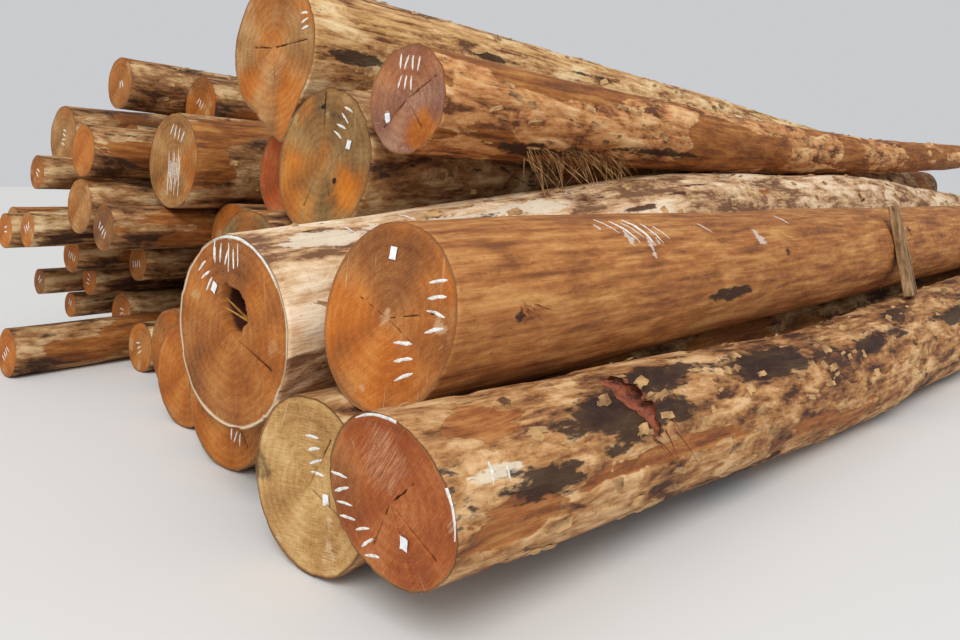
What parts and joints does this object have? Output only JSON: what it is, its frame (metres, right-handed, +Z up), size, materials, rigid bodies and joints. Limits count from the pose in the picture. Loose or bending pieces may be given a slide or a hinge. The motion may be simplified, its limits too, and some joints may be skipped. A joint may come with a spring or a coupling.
{
  "type": "heap of logs",
  "caption": "Heap of long felled round logs, all lying the same way in layers on level ground, large logs in front and smaller ones behind.",
  "frame": {"origin": "middle of the heap on the ground: the bottom centre of its bounding box", "axes": "+X runs along the logs, away from their near sawn ends; +Y runs back across the heap, away from the front log; +Z is up"},
  "size_m": [13.9632, 7.0774, 2.7921],
  "materials": {
    "weathered_offcut": "rough",
    "mottled_bark_log": "rough bark",
    "yellow_wood_log": "rough",
    "barked_red_log": "debarked",
    "pale_bark_log": "rough bark",
    "brown_log": "rough bark"
  },
  "bodies": {
    "root": {"arched_log": "pale_bark_log", "brown_log": "brown_log", "buried_log": "brown_log", "crown_log": "yellow_wood_log", "fifth_floor_log": "brown_log", "fourth_floor_log": "brown_log", "front_floor_log": "mottled_bark_log", "inner_log_01": "brown_log", "inner_log_02": "brown_log", "inner_log_03": "brown_log", "inner_log_04": "brown_log", "inner_log_05": "brown_log", "inner_log_06": "brown_log", "inner_log_07": "brown_log", "inner_log_08": "brown_log", "inner_log_09": "brown_log", "inner_log_10": "brown_log", "inner_log_11": "brown_log", "inner_log_12": "brown_log", "inner_log_13": "brown_log", "loose_wedge": "weathered_offcut", "olive_log": "brown_log", "propping_log": "brown_log", "second_floor_log": "yellow_wood_log", "small_log_01": "brown_log", "small_log_02": "brown_log", "small_log_03": "brown_log", "small_log_04": "brown_log", "small_log_05": "brown_log", "small_log_06": "brown_log", "small_log_07": "brown_log", "small_log_08": "brown_log", "small_log_09": "brown_log", "small_log_10": "brown_log", "small_log_11": "brown_log", "small_log_12": "brown_log", "small_log_13": "brown_log", "small_log_14": "brown_log", "small_log_15": "brown_log", "small_log_16": "brown_log", "small_log_17": "brown_log", "small_log_18": "brown_log", "small_log_19": "brown_log", "small_log_20": "brown_log", "small_log_21": "brown_log", "small_log_22": "brown_log", "small_log_23": "brown_log", "small_log_24": "brown_log", "smooth_log": "barked_red_log", "splintered_log": "brown_log", "third_floor_log": "brown_log"}
  },
  "joints": []
}
